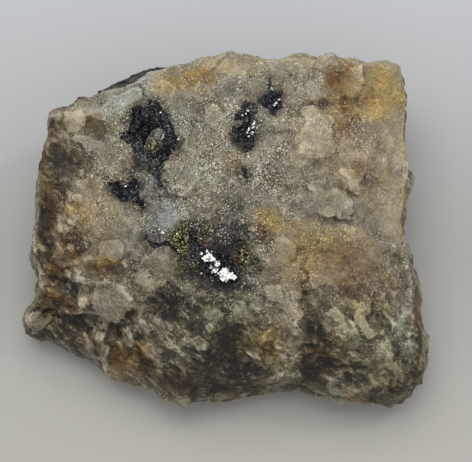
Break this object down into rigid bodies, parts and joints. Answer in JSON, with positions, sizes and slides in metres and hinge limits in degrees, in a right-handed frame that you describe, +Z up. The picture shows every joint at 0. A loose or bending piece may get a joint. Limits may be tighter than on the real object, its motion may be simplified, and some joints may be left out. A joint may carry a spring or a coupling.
{
  "type": "pyrite specimen",
  "caption": "Hand specimen of rough vein quartz, a broken slab with small pyrite and galena crystals grown through it.",
  "frame": {"origin": "middle of the bounding box seen from above, on the surface that the specimen rests on", "axes": "+X to the specimen's right along its length, +Y to its back, +Z up through its thickness"},
  "size_m": [0.0616, 0.0514, 0.022],
  "materials": {
    "vein_quartz": "satin",
    "galena": "gloss",
    "pyrite": "gloss"
  },
  "bodies": {
    "root": {"rock": "vein_quartz"}
  },
  "joints": []
}
